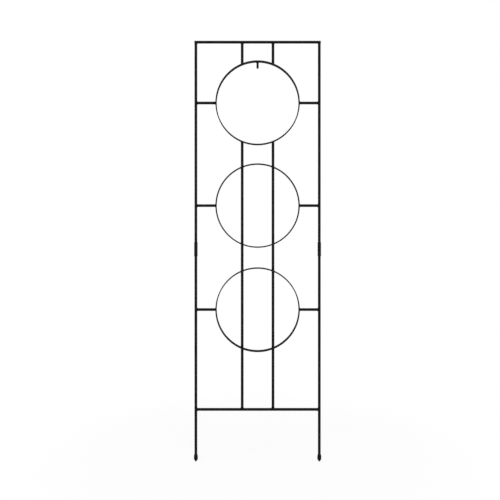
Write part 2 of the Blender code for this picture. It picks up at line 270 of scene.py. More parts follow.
def turns(steps):
    """Evenly spaced angles round a full turn, without the last, which is the first again."""
    return np.linspace(0, 2 * math.pi, steps, endpoint=False)


def across(axis):
    """The two unit vectors that follow an axis in the right-handed order X, Y, Z."""
    return AXES[(axis + 1) % 3], AXES[(axis + 2) % 3]


def around(point, axis, radius, turn):
    """point + radius * (cos turn * first + sin turn * second), for the two vectors across the axis."""
    first, second = across(axis)
    radius, turn = np.broadcast_arrays(radius, turn)
    return point + (radius * np.cos(turn))[..., None] * first + (radius * np.sin(turn))[..., None] * second


class Shell:
    """A grid of points, rows by columns, whose columns run round and join; its faces point outwards.

    A closed shell's last row joins its first. An open one has a cap at each end row. Each point says how
    worn and how rubbed its coat is, from 0 to 1.
    """

    def __init__(self, points, closed, worn=0.0, rubbed=0.0):
        rows, columns = points.shape[:2]
        self.points = points.reshape(-1, 3)
        self.worn = np.broadcast_to(worn, (rows, columns)).ravel()
        self.rubbed = np.broadcast_to(rubbed, (rows, columns)).ravel()
        row = np.arange(rows if closed else rows - 1)[:, None]
        column = np.arange(columns)[None, :]
        next_row = (row + 1) % rows
        next_column = (column + 1) % columns
        corners = [
            row * columns + column,
            row * columns + next_column,
            next_row * columns + next_column,
            next_row * columns + column,
        ]
        self.quads = np.stack(corners, axis=-1).reshape(-1, 4)
        first_row = np.arange(columns)
        self.caps = [] if closed else [first_row[::-1], first_row + (rows - 1) * columns]


def add_piece(name, shells, coat, slot, body, *nodes):
    """One mesh object of several shells, which rides on a body and stands for its CAD nodes."""
    faces = []
    used = 0
    for shell in shells:
        faces += (shell.quads + used).tolist() + [(cap + used).tolist() for cap in shell.caps]
        used += len(shell.points)
    mesh = bpy.data.meshes.new(name)
    mesh.from_pydata(np.concatenate([shell.points for shell in shells]), [], faces)
    for label in ("worn", "rubbed"):
        values = np.concatenate([getattr(shell, label) for shell in shells]).astype(np.float32)
        mesh.attributes.new(label, "FLOAT", "POINT").data.foreach_set("value", values)
    mesh.shade_smooth()
    mesh.set_sharp_from_angle(angle=SHARP_EDGE)
    mesh.materials.append(coat)
    piece = bpy.data.objects.new(name, mesh)
    bpy.context.scene.collection.objects.link(piece)
    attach(piece, body)
    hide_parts(*nodes)


class Flat:
    """A tube's end cut square at a place along its axis: the same place at every radius and turn."""

    def __init__(self, place):
        self.place = place

    def position(self, point, axis, side, radius, turn):
        return np.broadcast_to(self.place, np.broadcast(radius, turn).shape)


class Wall:
    """A tube's end coped to a round wall: a cylinder's outside if facing is 1, and its inside if it is -1.

    Seen from the cylinder's axis, the wall stands facing * sqrt(R^2 - q^2) towards the tube, where q is the
    distance of a point from the cylinder's axis, measured across both axes.
    """

    def __init__(self, centre, axis, radius, facing=1, gap=0.0):
        self.centre = np.array(centre, float)
        self.axis = axis
        self.radius = radius
        self.facing = facing
        self.gap = gap

    def position(self, point, axis, side, radius, turn):
        q_axis = 3 - axis - self.axis
        q = around(point, axis, radius, turn)[..., q_axis] - self.centre[q_axis]
        height = self.facing * np.sqrt(np.clip(self.radius**2 - q**2, 0, None))
        return self.centre[axis] + side * (height + self.gap)


def ring_outside(ring, gap=0.0):
    """The outer face of a ring, as the wall that a tube is coped to."""
    return Wall((0, 0, RING_Z[ring]), Y, RING_RADIUS, gap=gap)


def ring_inside(ring):
    """The inner face of a ring."""
    return Wall((0, 0, RING_Z[ring]), Y, RING_RADIUS - settings("strip").thickness, facing=-1)


def bar_wall(height):
    """The outside of the cross bar at a height."""
    return Wall((0, 0, height), X, TUBE_RADIUS)


def rail_wall(side):
    """The outside of the rail on one side."""
    return Wall((SIDES[side] * RAIL_X, 0, 0), Z, TUBE_RADIUS)


def profile_rows(radius, share, inset):
    """Rows of a tube's profile: the radius, the share of the tube's length, and an inset in metres."""
    return np.stack(np.broadcast_arrays(radius, share, inset), axis=-1)


def lip(outer, bore, rounding, share):
    """A cut end's rim, from the outer wall over the end face to the bore.

    Each of its two edges is a quarter circle of the given rounding.
    """
    bend = np.linspace(math.pi / 2, 0, 5)
    drop = rounding * (1 - np.cos(bend))
    outside = outer - rounding * (1 - np.sin(bend))
    inside = (bore + rounding * (1 - np.sin(bend)))[::-1]
    inset = np.concatenate([drop, drop[::-1]])
    radius = np.concatenate([outside, inside])
    return profile_rows(radius, share, inset if share == 0 else -inset)


def tube_profile(outer, bore, shares):
    """A tube's closed profile: up the outside, over the far rim, back down the bore, over the near rim."""
    rounding = settings("tube").lip
    return np.concatenate([
        profile_rows(outer, shares, 0),
        lip(outer, bore, rounding, 1),
        profile_rows(bore, shares[::-1], 0),
        lip(outer, bore, rounding, 0)[::-1],
    ])


def profile_points(point, axis, start, end, profile, turn):
    """A profile carried round an axis, as points along the profile by points round the axis.

    The row (radius, share, inset) lies at start + share * (end - start) + inset. The two ends are read at
    that radius and turn, so that they can be coped.
    """
    radius, share, inset = (profile[:, i, None] for i in range(3))
    points = around(point, axis, radius, turn)
    near = start.position(point, axis, 1, radius, turn)
    far = end.position(point, axis, -1, radius, turn)
    points[..., axis] = near + share * (far - near) + inset
    return points


def tube(point, axis, start, end):
    """A straight round tube between two ends: the tube's profile carried round its axis."""
    tube_settings = settings("tube")
    zero = np.zeros(1)
    near = start.position(point, axis, 1, zero, zero)[0]
    far = end.position(point, axis, -1, zero, zero)[0]
    sections = max(3, round((far - near) / tube_settings.spacing))
    shares = np.linspace(0, 1, sections + 1)[1:-1]
    profile = tube_profile(TUBE_RADIUS, TUBE_RADIUS - tube_settings.wall, shares)
    points = profile_points(point, axis, start, end, profile, turns(tube_settings.sides)[None, :])
    return Shell(points, closed=True)


def unit(vectors):
    """Vectors made one long."""
    return vectors / np.linalg.norm(vectors, axis=1, keepdims=True)


def reach(vectors, directions):
    """How far each vector reaches along its direction, as a column."""
    return (vectors * directions).sum(axis=1, keepdims=True)


class Seam:
    """The line where the outside of a tube or rod meets a wall, and the normals of both along it.

    With q as for a wall, the line stands facing * sqrt(R^2 - q^2 + (R/4)^2 (q/R)^8) from the wall's axis
    towards the tube. The last term only counts near |q| = R, and keeps the slope finite where tube and wall
    are as wide.
    """

    def __init__(self, point, axis, side, wall, radius, turn):
        self.axis = axis
        self.side = side
        self.wall = wall
        self.q_axis = 3 - axis - wall.axis
        self.sideways = AXES[self.q_axis]
        self.towards = side * AXES[axis]
        self.points = around(point, axis, radius, turn)
        self.q = self.points[:, self.q_axis] - wall.centre[self.q_axis]
        rounding = (wall.radius / 4) ** 2 * (self.q / wall.radius) ** 8
        self.height = wall.facing * np.sqrt(wall.radius**2 - self.q**2 + rounding)
        self.points[:, axis] = wall.centre[axis] + side * self.height
        self.tube_normal = around(np.zeros(3), axis, 1.0, turn)
        out_of_wall = self.q[:, None] * self.sideways + self.height[:, None] * self.towards
        self.wall_normal = wall.facing * unit(out_of_wall)
        self.between = unit(self.tube_normal + self.wall_normal)

    def up_tube(self, distance, depth):
        """Points a distance up the tube from the seam, and a depth under its surface."""
        return self.points + distance[:, None] * self.towards - depth * self.tube_normal

    def along_wall(self, distance, depth):
        """Points a distance along the wall from the seam, round its curve, and a depth under its surface.

        The way there is the tube's normal or, where the two normals are alike, back along the tube's axis,
        less its part along the wall's normal.
        """
        wall = self.wall
        alike = np.clip(reach(self.tube_normal, self.wall_normal), 0, 1) ** 2
        away = self.tube_normal * (1 - alike) - self.towards * alike
        away = unit(away - reach(away, self.wall_normal) * self.wall_normal)
        angle = np.arctan2(self.q, wall.facing * self.height)[:, None]
        round_wall = np.cos(angle) * self.sideways - wall.facing * np.sin(angle) * self.towards
        walked = (angle + distance[:, None] * reach(away, round_wall) / wall.radius)[:, 0]
        sunk = wall.radius - wall.facing * depth
        points = self.points.copy()
        points[:, self.q_axis] = wall.centre[self.q_axis] + sunk * np.sin(walked)
        points[:, self.axis] = wall.centre[self.axis] + self.side * wall.facing * sunk * np.cos(walked)
        points[:, wall.axis] += distance * away[:, wall.axis]
        return points


def weld(point, axis, side, wall, radius, seed):
    """A bead round the foot of a tube or rod where it meets a wall.

    It reaches from a toe A, a leg along the wall from the seam, to a toe B, a leg up the tube. Between them
    it is the quadratic curve (1-v)^2 A + 2v(1-v) P + v^2 B, with its control point P above the seam, along
    the sum of the two normals. Ripples |sin| of an angle that grows along the bead, bowed by v, are added
    to it. Three more rows close the bead inside the steel.
    """
    sizes = settings("weld")
    turn = turns(sizes.sides)
    phases = np.random.default_rng(seed).uniform(0, 2 * math.pi, 3)
    slow_change, quick_change = 0.07, 0.05
    uneven = 1 + slow_change * np.sin(turn + phases[0]) + quick_change * np.sin(3 * turn + phases[1])
    seam = Seam(point, axis, side, wall, radius, turn)
    toe_depth = sizes.root / 4
    wall_toe = seam.along_wall(sizes.leg * uneven, toe_depth)
    tube_toe = seam.up_tube(sizes.leg * uneven, toe_depth)
    crown = seam.points + (sizes.crown * uneven)[:, None] * seam.between

    v = np.linspace(0, 1, 11)[:, None, None]
    bead = (1 - v) ** 2 * wall_toe + 2 * v * (1 - v) * crown + v**2 * tube_toe
    seam_stretch, most_bow, mean_wave = 1.15, 0.6, 0.6
    ripples = round(2 * math.pi * radius * seam_stretch / sizes.pitch)
    bow = most_bow * (1 - (2 * v[..., 0] - 1) ** 2)
    wave = np.abs(np.sin(ripples * turn / 2 + bow * math.pi + phases[2])) - mean_wave
    bead = bead + (sizes.ripple * np.sin(math.pi * v[..., 0]) * wave)[..., None] * seam.between
    root = np.stack([
        tube_toe - sizes.root * seam.tube_normal,
        seam.points - 2 * sizes.root * seam.between,
        wall_toe - sizes.root * seam.wall_normal,
    ])
    points = np.concatenate([bead, root])
    if side < 0:
        points = points[::-1]
    return Shell(np.clip(points, -WELD_REACH, WELD_REACH), closed=True)


def rounded_box(turn, half_width, half_height, edge):
    """x and y of a rectangle with rounded corners.

    A turn's share of its right angle is the point's share of that quarter's length. A quarter runs from
    x = half_width straight up, round the corner, and straight to the middle.
    """
    straight = half_height - edge
    corner = edge * math.pi / 2
    quarter = straight + corner + half_width - edge
    share = np.abs(np.arcsin(np.clip(np.sin(turn), -1, 1))) / (math.pi / 2)
    along = share * quarter
    bend = np.clip((along - straight) / edge, 0, math.pi / 2)
    x = half_width - edge + edge * np.cos(bend) - np.clip(along - straight - corner, 0, None)
    y = np.clip(along, 0, straight) + edge * np.sin(bend)
    return np.sign(np.cos(turn)) * np.clip(x, 0, None), np.sign(np.sin(turn)) * y


def point_half_width(rise, widest):
    """Half the width of the sheared point at a rise above its tip.

    It is the nose's circle, and above it the straight line that touches the circle and passes through the
    corner at full width.
    """
    foot = settings("foot")
    to_corner = math.hypot(widest, foot.point - foot.nose)
    touch = math.atan2(foot.point - foot.nose, widest) - math.acos(foot.nose / to_corner)
    touch_x = foot.nose * math.cos(touch)
    touch_rise = foot.nose * (1 + math.sin(touch))
    circle = np.sqrt(np.clip(foot.nose**2 - (foot.nose - rise) ** 2, 0, None))
    line = touch_x + (widest - touch_x) * (rise - touch_rise) / (foot.point - touch_rise)
    return np.where(rise < touch_rise, circle, line)


def foot_rises(height):
    """Rises of a lower rail's sections above its tip: close together at the foot, then even up the tube."""
    foot = settings("foot")
    tube_settings = settings("tube")
    flat_top = foot.point + foot.flat
    press_top = flat_top + foot.press
    first_turn = 0.12
    sections = round((height - press_top) / tube_settings.spacing)
    return np.concatenate([
        foot.nose * (1 - np.cos(np.linspace(first_turn, math.pi / 2, 8))),
        np.linspace(foot.nose, foot.point, 14)[1:],
        np.linspace(foot.point, flat_top, 4)[1:],
        np.linspace(flat_top, press_top, 26)[1:],
        np.linspace(press_top, height - 2 * tube_settings.lip, sections)[1:],
    ])


def pressed(rise):
    """How far the tube is pressed at a rise: 1 up to the flat's top, then down to 0 by the smooth cubic."""
    foot = settings("foot")
    return smooth((foot.point + foot.flat + foot.press - rise) / foot.press)


def pressed_outline(rise, radius, wall):
    """Half the width and half the thickness at a rise, of an outline that was a circle of the radius.

    Half the thickness goes from the bore's radius to half the pinched bore, plus the wall. The outline
    keeps its length, so half its width is (r - t/2) * pi/2 + t/2 at the thickness t.
    """
    bore = TUBE_RADIUS - settings("tube").wall
    half_height = bore + (settings("foot").pinched_bore / 2 - bore) * pressed(rise) + wall
    return (radius - half_height) * math.pi / 2 + half_height, half_height


def sheared(rise, half_width, half_height):
    """Half the width once the point is sheared, and the rounding of its edges, at each rise.

    Below the flat the width is the point's. The rounding there falls from half the thickness, which rolled
    edges have, to the sheared edge's, by the fourth power of the share of the rolled edge that is left.
    """
    foot = settings("foot")
    cut = rise < foot.point
    cut_width = point_half_width(rise, half_width[0])
    left = np.clip((cut_width - half_width + 2 * half_height) / (2 * half_height), 0, 1)
    edge = np.where(cut, foot.sheared_edge + (half_height - foot.sheared_edge) * left**4, half_height)
    width = np.where(cut, np.minimum(cut_width, half_width), half_width)
    most_rounding = 0.95  # of half the width, so that the narrow nose keeps a flat
    return width, np.minimum(edge, most_rounding * width)


def rail_with_foot(x):
    """A lower rail: round tube whose lower end is pressed flat and sheared to a point.

    Each section is a rounded box. They go up the outside, over the rim and down the bore to the top of the
    flat. The flat sinks by the smooth cubic of 1 - (s/0.8)^2, with s the share of half the width.
    """
    foot = settings("foot")
    tube_settings = settings("tube")
    bore = TUBE_RADIUS - tube_settings.wall
    height = LOWER_RAIL_TOP_Z - TIP_Z
    rim = lip(TUBE_RADIUS, bore, tube_settings.lip, 1)
    outer_rise = foot_rises(height)
    inner_rise = outer_rise[outer_rise > foot.point + foot.flat][::-1]

    outer_width, outer_height = pressed_outline(outer_rise, TUBE_RADIUS, tube_settings.wall)
    outer_width, outer_edge = sheared(outer_rise, outer_width, outer_height)
    inner_width, inner_height = pressed_outline(inner_rise, bore, 0.0)
    rise = np.concatenate([outer_rise, height + rim[:, 2], inner_rise])
    half_width = np.concatenate([outer_width, rim[:, 0], inner_width])
    half_height = np.concatenate([outer_height, rim[:, 0], inner_height])
    edge = np.concatenate([outer_edge, rim[:, 0], inner_height])
    outside = np.arange(len(rise)) < len(outer_rise)

    turn = turns(tube_settings.sides)[None, :]
    across_foot, through = rounded_box(turn, half_width[:, None], half_height[:, None], edge[:, None])
    hollow_share = 0.8
    share = across_foot / np.clip(half_width, NEARLY_NOTHING, None)[:, None]
    level_part = np.clip(1 - (share / hollow_share) ** 2, 0, 1)
    sunk = foot.hollow * (outside * pressed(rise) ** 2)[:, None]
    through = through - np.sign(through) * sunk * smooth(level_part)
    points = np.stack(np.broadcast_arrays(x + across_foot, through, TIP_Z + rise[:, None]), axis=-1)

    worn_height, below_mouth, fade = 0.8 * foot.point, 0.002, 0.006
    worn = (outside * smooth(1 - rise / worn_height))[:, None]
    rubbed = (outside * smooth((rise + TIP_Z - MOUTH_Z + below_mouth) / fade))[:, None]
    return Shell(points, closed=False, worn=worn, rubbed=rubbed)


def rail_with_socket(x):
    """An upper rail: round tube coped under the top bar, whose lower end is swaged out into a socket.

    The outer radius falls by the smooth cubic from the flared mouth to the socket, stays, and falls again
    over the shoulder to the plain tube. The wall keeps its thickness.
    """
    socket = settings("socket")
    tube_settings = settings("tube")
    plain = TUBE_RADIUS
    swaged = plain + socket.clearance + tube_settings.wall
    depth = LOWER_RAIL_TOP_Z + socket.seat - MOUTH_Z
    full = TOP_BAR_Z - TUBE_RADIUS - MOUTH_Z

    rise = np.concatenate([
        np.linspace(2 * tube_settings.lip, socket.mouth, 9),
        np.linspace(socket.mouth, depth, 8)[1:],
        np.linspace(depth, depth + socket.shoulder, 13)[1:],
    ])
    flare = 1 - smooth(rise / socket.mouth)
    narrowing = smooth((rise - depth) / socket.shoulder)
    outer = swaged + (MOUTH_RADIUS - swaged) * flare + (plain - swaged) * narrowing
    sections = round((full - depth) / tube_settings.spacing)
    shares = np.linspace((depth + socket.shoulder) / full, 1, sections + 1)[1:-1]

    wall = tube_settings.wall
    profile = np.concatenate([
        lip(MOUTH_RADIUS, MOUTH_RADIUS - wall, tube_settings.lip, 0)[::-1],
        profile_rows(outer, 0, rise),
        profile_rows(plain, shares, 0),
        lip(plain, plain - wall, tube_settings.lip, 1),
        profile_rows(plain - wall, shares[::-1], 0),
        profile_rows(outer - wall, 0, rise)[::-1],
    ])
    turn = turns(tube_settings.sides)[None, :]
    points = profile_points(np.array([x, 0, 0]), Z, Flat(MOUTH_Z), bar_wall(TOP_BAR_Z), profile, turn)
    worn_height = 0.0012
    return Shell(points, closed=True, worn=smooth(1 - (points[..., Z] - MOUTH_Z) / worn_height))


def ring_of_strip(height, seam_turn):
    """Strip rolled on edge: a rounded rectangle carried round the ring's axis, which lies along Y.

    The ground weld that closes the ring is a low ridge h * exp(-(d/w)^2) on the outer and the inner face,
    with d the distance from it along the strip.
    """
    strip = settings("strip")
    half = strip.thickness / 2
    edge = strip.edge
    bend = np.linspace(0, math.pi / 2, 6)
    face = np.linspace(edge - STRIP_HALF_WIDTH, STRIP_HALF_WIDTH - edge, 9)[:-1]
    side = np.linspace(half - edge, edge - half, 3)[:-1]
    corner_y = STRIP_HALF_WIDTH - edge + edge * np.sin(bend)[:-1]
    corner_out = half - edge + edge * np.cos(bend)[:-1]
    turned_y = STRIP_HALF_WIDTH - edge + edge * np.cos(bend)[:-1]
    turned_out = edge - half - edge * np.sin(bend)[:-1]
    # Half the section runs from the outer face over the rear edge, and the other half is that turned round
    y = np.concatenate([face, corner_y, np.full_like(side, STRIP_HALF_WIDTH), turned_y])
    out = np.concatenate([np.full_like(face, half), corner_out, side, turned_out])
    section_y = np.concatenate([y, -y])[:, None]
    section_out = np.concatenate([out, -out])[:, None]

    turn = turns(strip.steps)[None, :]
    middle_radius = RING_RADIUS - half
    away = (turn - seam_turn + math.pi) % (2 * math.pi) - math.pi
    ridge = strip.seam_height * np.exp(-((away * middle_radius / strip.seam_width) ** 2))
    ridge_fade = 3 * edge
    on_face = np.sign(section_out) * smooth((STRIP_HALF_WIDTH - np.abs(section_y)) / ridge_fade)
    points = around(np.array([0, 0, height]), Y, middle_radius + section_out + on_face * ridge, turn)
    points[..., Y] = section_y
    worn = np.broadcast_to(smooth((np.abs(section_y) - STRIP_HALF_WIDTH + edge) / edge), points.shape[:2])
    return Shell(points, closed=True, worn=worn)


def hook_of_rod():
    """A J of round rod in the plane X = 0: a straight shank, a half turn and a short upturned tip.

    A circle is carried along the path, square to it. At the tip its radius falls as a quarter circle.
    """
    hook = settings("hook")
    rod = HOOK_ROD_RADIUS
    bend_radius = (HOOK_BACK_Y - HOOK_FRONT_Y) / 2 - rod
    bend_y = (HOOK_BACK_Y + HOOK_FRONT_Y) / 2
    bend_z = HOOK_BOTTOM_Z + bend_radius + rod
    top_z = RING_Z["top"] + RING_RADIUS - settings("strip").thickness + ROD_INTO_STRIP
    tip_z = bend_z + hook.tip

    shank_z = np.linspace(top_z, bend_z, 8)
    turn = np.linspace(0, math.pi, 33)[1:]
    straight_z = np.linspace(bend_z, tip_z - hook.rounding, 5)[1:]
    dome = np.linspace(0, math.pi / 2 - SHORT_OF_FLAT, 9)[1:]
    dome_radius = rod - hook.rounding + hook.rounding * np.cos(dome)
    flat_radius = np.linspace(dome_radius[-1], NEARLY_NOTHING, 4)[1:]
    z = np.concatenate([
        shank_z,
        bend_z - bend_radius * np.sin(turn),
        straight_z,
        tip_z - hook.rounding + hook.rounding * np.sin(dome),
        np.full_like(flat_radius, tip_z),
    ])
    before_dome = len(shank_z) + len(turn) + len(straight_z)
    radius = np.concatenate([np.full(before_dome, rod), dome_radius, flat_radius])
    after_bend = len(z) - len(shank_z) - len(turn)
    heading = np.concatenate([np.zeros_like(shank_z), turn, np.full(after_bend, math.pi)])
    y = bend_y + bend_radius * np.cos(heading)

    # The path heads along (0, -sin, -cos) of heading; X and (0, -cos, sin) of it are square to that
    turn = turns(settings("tube").sides)[None, :]
    inward = np.stack([np.zeros_like(heading), -np.cos(heading), np.sin(heading)], axis=-1)
    centre = np.stack([np.zeros_like(y), y, z], axis=-1)
    points = centre[:, None, :] + (radius[:, None] * np.cos(turn))[..., None] * AXES[X]
    points = points + (radius[:, None] * np.sin(turn))[..., None] * inward[:, None, :]
    most_worn, worn_height, fade = 0.7, 0.003, 0.002
    worn = (most_worn * smooth((z - tip_z + worn_height) / fade) * (y < bend_y))[:, None]
    return Shell(points, closed=False, worn=worn)


def peg_of_rod(x):
    """A round peg under the middle ring: a straight profile carried round the peg's axis.

    Its upper end is coped to the strip. At its lower end the radius grows as a quarter circle.
    """
    rounding = 0.4 * PEG_RADIUS
    bend = np.linspace(SHORT_OF_FLAT, math.pi / 2, 8)
    rounded = PEG_RADIUS - rounding + rounding * np.sin(bend)
    straight = np.linspace(0.3, 1, 4)
    radius = np.concatenate([[NEARLY_NOTHING], rounded, np.full_like(straight, PEG_RADIUS)])
    share = np.concatenate([np.zeros(1 + len(bend)), straight])
    inset = np.concatenate([[0.0], rounding * (1 - np.cos(bend)), np.zeros_like(straight)])
    profile = profile_rows(radius, share, inset)
    end = ring_outside("middle", gap=-ROD_INTO_STRIP)
    turn = turns(settings("tube").sides)[None, :]
    points = profile_points(np.array([x, 0, 0]), Z, Flat(PEG_END_Z), end, profile, turn)
    return Shell(points, closed=False, rubbed=0.5)


class Field:
    """A number that changes over a surface: a node's output, on which +, -, * and ** add Math nodes."""

    def __init__(self, tree, socket):
        self.tree = tree
        self.socket = socket

    def __add__(self, other):
        return self.tree.math("ADD", self, other)

    def __radd__(self, other):
        return self.tree.math("ADD", other, self)

    def __sub__(self, other):
        return self.tree.math("SUBTRACT", self, other)

    def __rsub__(self, other):
        return self.tree.math("SUBTRACT", other, self)

    def __mul__(self, other):
        return self.tree.math("MULTIPLY", self, other)

    def __rmul__(self, other):
        return self.tree.math("MULTIPLY", other, self)

    def __pow__(self, other):
        return self.tree.math("POWER", self, other)


class Tree:
    """The node tree of a material or a world, emptied, with one method that adds nodes."""

    def __init__(self, owner):
        owner.use_nodes = True
        self.nodes = owner.node_tree.nodes
        self.links = owner.node_tree.links
        self.nodes.clear()

    def node(self, kind, properties, inputs):
        """Adds a node, sets its properties, then its inputs by name or number, and gives its outputs."""
        made = self.nodes.new(kind)
        for name, value in properties.items():
            setattr(made, name, value)
        for name, value in inputs.items():
            if isinstance(value, Field):
                self.links.new(value.socket, made.inputs[name])
            else:
                made.inputs[name].default_value = value
        return [Field(self, socket) for socket in made.outputs]

    def noise(self, place, size, detail, roughness=0.5):
        """Noise of about the given size in metres, from 0 to 1."""
        inputs = {"Vector": place, "Scale": 1 / size, "Detail": detail, "Roughness": roughness}
        return self.node("ShaderNodeTexNoise", {"noise_dimensions": "3D"}, inputs)[0]

    def ranged(self, value, low_value, high_value):
        """value carried from low_value..high_value to 0..1, clamped and smooth."""
        properties = {"interpolation_type": "SMOOTHSTEP"}
        inputs = {"Value": value, "From Min": low_value, "From Max": high_value}
        return self.node("ShaderNodeMapRange", properties, inputs)[0]

    def mixed(self, share, first, second):
        """A colour between two colours."""
        inputs = {MIX_FACTOR: share, MIX_FIRST: first, MIX_SECOND: second}
        return self.node("ShaderNodeMix", {"data_type": "RGBA"}, inputs)[MIX_RESULT]

    def math(self, operation, first, second):
        """A Math node on two numbers or fields."""
        return self.node("ShaderNodeMath", {"operation": operation}, {0: first, 1: second})[0]


def opaque(rgb):
    """A colour with full alpha, as nodes hold it."""
    return (*rgb, 1.0)


def powder_coat(name, roughness, lumps=0.0):
    """Satin black powder coat: clouds, orange peel, grain, specks, thin spots on edges, rubbed streaks.

    The colour is mixed from the coat's own towards dust and rubbed steel. The roughness is the given one, a
    little uneven, lower where rubbing has polished the coat, and higher at a slant. Lumps are the height of
    the bumps on a weld.
    """
    coat = settings("coat")
    material = bpy.data.materials.get(name)
    if material is not None:
        return material
    material = bpy.data.materials.new(name)
    tree = Tree(material)
    here = tree.node("ShaderNodeTexCoord", {}, {})[OBJECT_PLACE]
    worn = tree.node("ShaderNodeAttribute", {"attribute_name": "worn"}, {})[ATTRIBUTE_VALUE]
    rubbed = tree.node("ShaderNodeAttribute", {"attribute_name": "rubbed"}, {})[ATTRIBUTE_VALUE]

    cloud = tree.noise(here, coat.cloud, detail=3)
    peel = tree.noise(here, coat.peel, detail=2)
    grain = tree.noise(here, coat.grain, detail=3, roughness=0.6)
    speck = tree.ranged(tree.noise(here, coat.speck, detail=1), *SPECKS)

    # Streaks are noise drawn out along Z, the way that the slip joint slides
    drawn_out = tree.node("ShaderNodeMapping", {}, {"Vector": here, "Scale": (1, 1, STREAK_SHRINK)})[0]
    streaks = tree.ranged(tree.noise(drawn_out, coat.streak, detail=2), *STREAKS)
    spots = tree.noise(here, coat.thin_spot, detail=4, roughness=0.65)
    thin = worn * tree.ranged(spots, *THIN_SPOTS)
    scuffed = rubbed * streaks

    clouding = tree.ranged(cloud, *CLOUDS) * MOST_DUST["cloud"] + grain * MOST_DUST["grain"]
    clouded = tree.mixed(clouding, opaque(coat.colour), opaque(coat.dust))
    dusting = speck * MOST_DUST["speck"] + thin * MOST_DUST["thin"]
    dusted = tree.mixed(dusting, clouded, opaque(coat.dust))
    finished = tree.mixed(scuffed * MOST_STEEL, dusted, opaque(coat.steel))
    slant = tree.node("ShaderNodeLayerWeight", {}, {"Blend": 0.5})[SLANT]
    uneven = roughness - STARTS_SMOOTHER + cloud * ROUGHER["cloud"] + grain * ROUGHER["grain"]
    gloss = uneven + thin * ROUGHER["thin"] - scuffed * RUBBED_SMOOTHER + slant**2 * coat.slanted

    height = peel * coat.peel_depth + grain * coat.grain_depth
    if lumps:
        height = height + tree.noise(here, coat.lump, detail=3) * lumps
    relief = tree.node("ShaderNodeBump", {}, {"Height": height, "Distance": 1.0, "Strength": 1.0})[0]
    shader = tree.node("ShaderNodeBsdfPrincipled", {}, {
        "Base Color": finished,
        "Roughness": gloss,
        "Metallic": 0.0,
        "Specular IOR Level": coat.specular,
        "Normal": relief,
    })[0]
    tree.node("ShaderNodeOutputMaterial", {}, {"Surface": shader})
    return material


def coat_on(stock):
    """The coat on tube, strip or rod."""
    return powder_coat(stock + "_powder_coat", getattr(settings("coat"), stock + "_roughness"))


def weld_coat():
    """The coat over a weld bead."""
    coat = settings("coat")
    return powder_coat("weld_powder_coat", coat.tube_roughness, lumps=coat.lump_depth)


def add_stock(stock, node, shell):
    """The piece that stands for one CAD node, and is made of tube, strip or rod."""
    add_piece(f"{node}_{stock}", [shell], coat_on(stock), stock + "_coat", BODIES[node], node)


def upright(side):
    """A point on the axis of the inner bars on one side."""
    return np.array([SIDES[side] * BAR_X, 0, 0])


class TRELLIS_OT_cross_bars(bpy.types.Operator):
    """Adds the top bar, open at both ends, and the bottom bar, coped between the rails"""

    bl_idname = "trellis.cross_bars"
    bl_label = "Cross bars"
    bl_options = {"REGISTER", "UNDO"}

    def execute(self, context):
        top = tube(np.array([0, 0, TOP_BAR_Z]), X, Flat(-BAR_END_X), Flat(BAR_END_X))
        add_stock("tube", "top_bar", top)
        bottom = tube(np.array([0, 0, BOTTOM_BAR_Z]), X, rail_wall("left"), rail_wall("right"))
        add_stock("tube", "bottom_bar", bottom)
        return {"FINISHED"}


class TRELLIS_OT_rails(bpy.types.Operator):
    """Adds the upper rails with their swaged sockets and the lower rails with their pressed feet"""

    bl_idname = "trellis.rails"
    bl_label = "Rails"
    bl_options = {"REGISTER", "UNDO"}

    def execute(self, context):
        for side, sign in SIDES.items():
            add_stock("tube", f"upper_{side}_rail", rail_with_socket(sign * RAIL_X))
            add_stock("tube", f"lower_{side}_rail", rail_with_foot(sign * RAIL_X))
        return {"FINISHED"}


class TRELLIS_OT_rings(bpy.types.Operator):
    """Adds the three rings of rolled strip"""

    bl_idname = "trellis.rings"
    bl_label = "Rings"
    bl_options = {"REGISTER", "UNDO"}

    def execute(self, context):
        seam_at_bottom = math.pi
        for ring in RINGS:
            add_stock("strip", ring + "_ring", ring_of_strip(RING_Z[ring], seam_at_bottom))
        return {"FINISHED"}


class TRELLIS_OT_arms(bpy.types.Operator):
    """Adds the short tubes from the rails to the rings"""

    bl_idname = "trellis.arms"
    bl_label = "Arms"
    bl_options = {"REGISTER", "UNDO"}

    def execute(self, context):
        for ring in RINGS:
            point = np.array([0, 0, RING_Z[ring]])
            ends = {
                "left": (rail_wall("left"), ring_outside(ring)),
                "right": (ring_outside(ring), rail_wall("right")),
            }
            for side, (start, end) in ends.items():
                add_stock("tube", f"{ring}_ring_{side}_arm", tube(point, X, start, end))
        return {"FINISHED"}


def inner_bars(side):
    """The upright inner bars on one side, from the top down: node, lower end, upper end."""
    return [
        (f"top_{side}_bar", ring_outside("top"), bar_wall(TOP_BAR_Z)),
        (f"upper_{side}_link", ring_outside("middle"), ring_outside("top")),
        (f"middle_ring_{side}_bar", ring_inside("middle"), ring_inside("middle")),
        (f"lower_{side}_link", ring_outside("bottom"), ring_outside("middle", gap=LINK_GAP)),
        (f"bottom_ring_{side}_bar", ring_inside("bottom"), ring_inside("bottom")),
        (f"base_{side}_bar", bar_wall(BOTTOM_BAR_Z), ring_outside("bottom")),
    ]


class TRELLIS_OT_inner_bars(bpy.types.Operator):
    """Adds the upright tubes between the bars and the rings, and those across the rings"""

    bl_idname = "trellis.inner_bars"
    bl_label = "Inner bars"
    bl_options = {"REGISTER", "UNDO"}

    def execute(self, context):
        for side in SIDES:
            for node, start, end in inner_bars(side):
                add_stock("tube", node, tube(upright(side), Z, start, end))
        return {"FINISHED"}


class TRELLIS_OT_hook(bpy.types.Operator):
    """Adds the hook of round rod under the crown of the top ring"""

    bl_idname = "trellis.hook"
    bl_label = "Hook"
    bl_options = {"REGISTER", "UNDO"}

    def execute(self, context):
        add_stock("rod", "hanging_hook", hook_of_rod())
        return {"FINISHED"}


